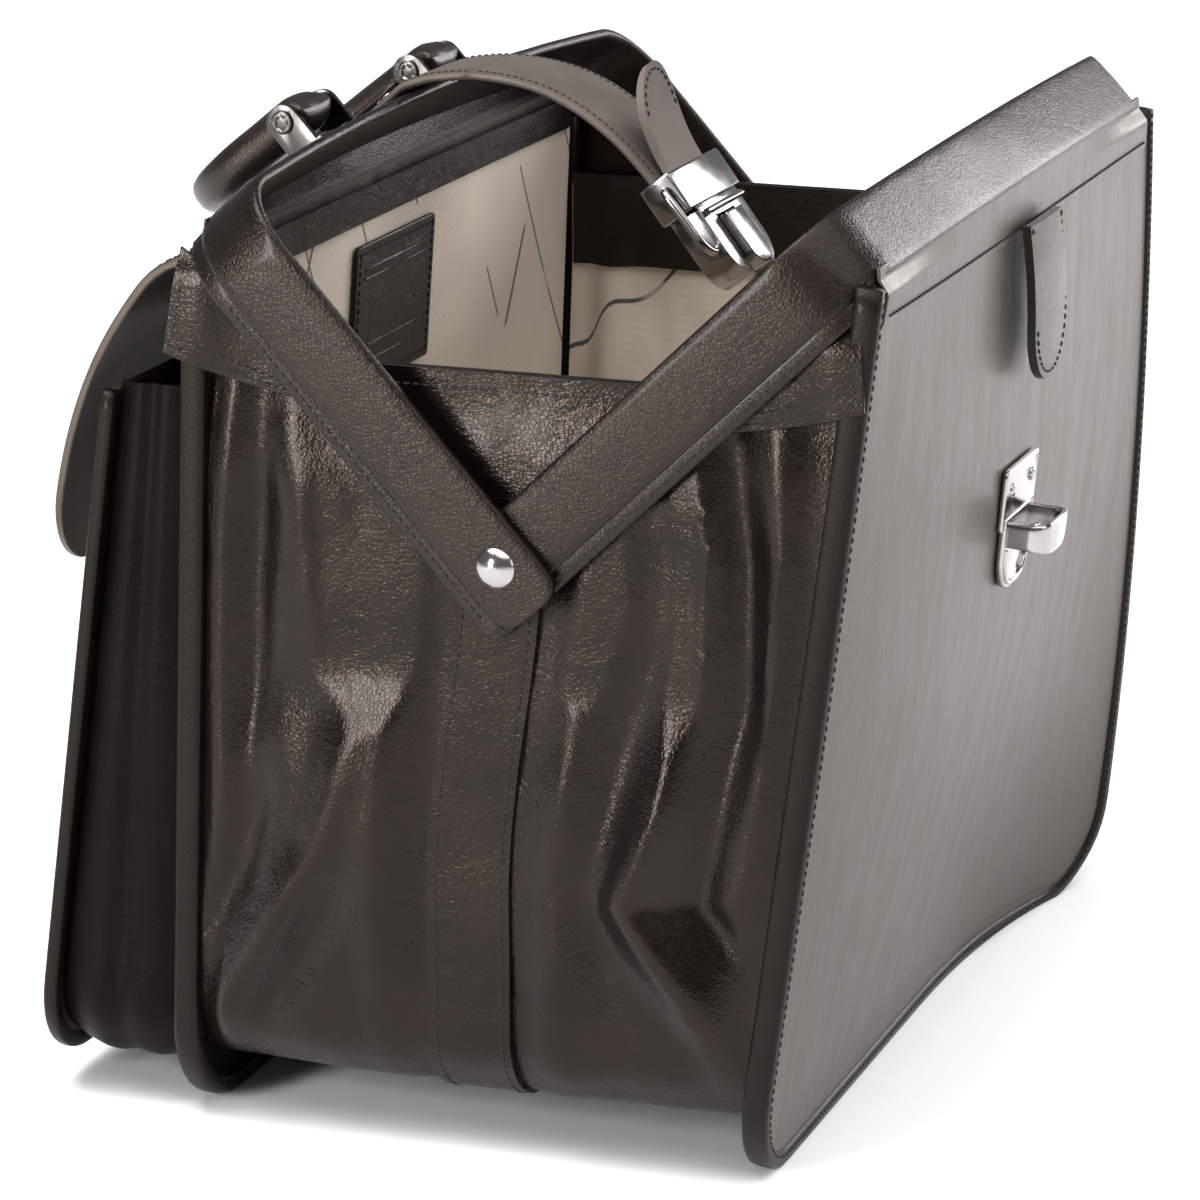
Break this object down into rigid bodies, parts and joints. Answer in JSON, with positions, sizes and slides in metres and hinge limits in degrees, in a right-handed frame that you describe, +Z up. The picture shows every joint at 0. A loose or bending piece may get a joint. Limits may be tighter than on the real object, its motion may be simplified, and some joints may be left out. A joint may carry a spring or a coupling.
{
  "type": "doctor bag",
  "caption": "Open leather doctor bag with a riveted two-part mouth frame, stitched gussets, a rear flap pocket, a padded handle and a closing strap with a push lock.",
  "frame": {"origin": "middle of the footprint of the whole open bag, on the surface that it stands on", "axes": "+Z up, +Y towards the pocket side (back), X along the mouth"},
  "size_m": [0.3824, 0.3129, 0.3384],
  "materials": {
    "gusset_leather": "glazed calf, high gloss",
    "panel_leather": "glazed calf, satin gloss",
    "binding_leather": "satin",
    "frame_leather": "glazed, gloss",
    "strap_leather": "glazed, satin gloss",
    "facing_leather": "satin, fine grain",
    "lining_fabric": "matt cotton twill with fine printed strokes",
    "board": "pressed fibre board",
    "nickel": "polished nickel plate",
    "spring_steel": "plain spring steel",
    "brass": "plain",
    "core_cord": "twisted cord"
  },
  "bodies": {
    "root": {"bottom_panel": "gusset_leather", "base_board": "board", "bottom_lining": "lining_fabric", "gusset_left": "gusset_leather", "gusset_right": "gusset_leather", "gusset_band": "gusset_leather", "gusset_facing_left": "facing_leather", "gusset_facing_right": "facing_leather", "end_lining_left": "lining_fabric", "end_lining_right": "lining_fabric"},
    "front_wall": {"front_panel": "panel_leather", "front_stiffener": "board", "front_lining": "lining_fabric", "front_facing": "facing_leather", "front_binding": "binding_leather", "catch_plate": "nickel", "catch_loop": "nickel", "catch_pin": "nickel", "catch_backing": "nickel", "front_wing_left": "gusset_leather", "front_wing_right": "gusset_leather"},
    "pull_tab": {"pull_tab": "strap_leather"},
    "front_frame": {"front_frame_steel": "spring_steel", "front_frame_cover": "frame_leather"},
    "back_wall": {"back_panel": "panel_leather", "back_stiffener": "board", "back_lining": "lining_fabric", "back_facing": "facing_leather", "back_binding": "binding_leather", "lining_patch": "facing_leather", "pocket_front": "panel_leather", "pocket_binding": "binding_leather", "pocket_gusset": "gusset_leather", "snap_stud": "nickel", "back_wing_left": "gusset_leather", "back_wing_right": "gusset_leather"},
    "pocket_flap": {"pocket_flap": "panel_leather", "snap_cap": "nickel"},
    "back_frame": {"back_frame_steel": "spring_steel", "back_frame_cover": "frame_leather", "pivot_rivets": "nickel", "handle_brackets": "nickel", "bracket_screws": "nickel", "handle_pins": "nickel", "strap_tail": "strap_leather", "strap_rivets": "nickel"},
    "handle": {"handle_sleeves": "brass", "handle_core": "core_cord", "handle_cover": "strap_leather"},
    "strap": {"closure_strap": "strap_leather"},
    "strap_tip": {"strap_end": "strap_leather", "lock_clamp": "nickel", "lock_case": "nickel", "lock_spring": "spring_steel"},
    "lock_button": {"lock_button": "nickel"}
  },
  "joints": [
    {"name": "mouth_close", "type": "hinge", "parent": "root", "child": "front_wall", "pos_m": [0, -0.104, 0.018], "axis": [-1, 0, 0], "range_deg": [0, 18.5], "deforming": ["gusset_left", "gusset_right", "gusset_facing_left", "gusset_facing_right", "end_lining_left", "end_lining_right", "front_wing_left", "front_wing_right", "back_wing_left", "back_wing_right"]},
    {"name": "back_wall_close", "type": "hinge", "parent": "root", "child": "back_wall", "pos_m": [0, 0.1, 0.018], "axis": [1, 0, 0], "range_deg": [0, 15.4]},
    {"name": "front_frame_fold", "type": "hinge", "parent": "front_wall", "child": "front_frame", "pos_m": [0, -0.14044, 0.306], "axis": [-1, 0, 0], "range_deg": [0, 20.3]},
    {"name": "back_frame_fold", "type": "hinge", "parent": "back_wall", "child": "back_frame", "pos_m": [0, 0.0896, 0.30683], "axis": [1, 0, 0], "range_deg": [0, 21.2]},
    {"name": "handle_swing", "type": "hinge", "parent": "back_frame", "child": "handle", "pos_m": [0, 0.1006, 0.32653], "axis": [1, 0, 0], "range_deg": [0, 90]},
    {"name": "strap_lift", "type": "hinge", "parent": "back_frame", "child": "strap", "pos_m": [0, 0.07831, 0.33166], "axis": [-1, 0, 0], "range_deg": [0, 128.12]},
    {"name": "strap_flex", "type": "hinge", "parent": "strap", "child": "strap_tip", "pos_m": [0, 0.028, 0.3335], "axis": [-1, 0, 0], "range_deg": [-30, 40]},
    {"name": "lock_press", "type": "slide", "parent": "strap_tip", "child": "lock_button", "axis": [0, 0.8, -0.6], "range_m": [0, 0.0015], "stiffness_N_per_m": 300, "springref_m": -0.001, "deforming": ["lock_spring"]},
    {"name": "flap_lift", "type": "hinge", "parent": "back_wall", "child": "pocket_flap", "pos_m": [0, 0.095, 0.2965], "axis": [1, 0, 0], "range_deg": [0, 26]},
    {"name": "tab_lift", "type": "hinge", "parent": "front_wall", "child": "pull_tab", "pos_m": [0, -0.14657, 0.29615], "axis": [-1, 0, 0], "range_deg": [0, 40]}
  ],
  "couplings": [
    {"joint": "back_wall_close", "follows": "mouth_close", "ratio": 0.83244},
    {"joint": "front_frame_fold", "follows": "mouth_close", "ratio": 1.0973},
    {"joint": "back_frame_fold", "follows": "mouth_close", "ratio": 1.146},
    {"joint": "strap_lift", "follows": "mouth_close", "ratio": 6.9264}
  ]
}
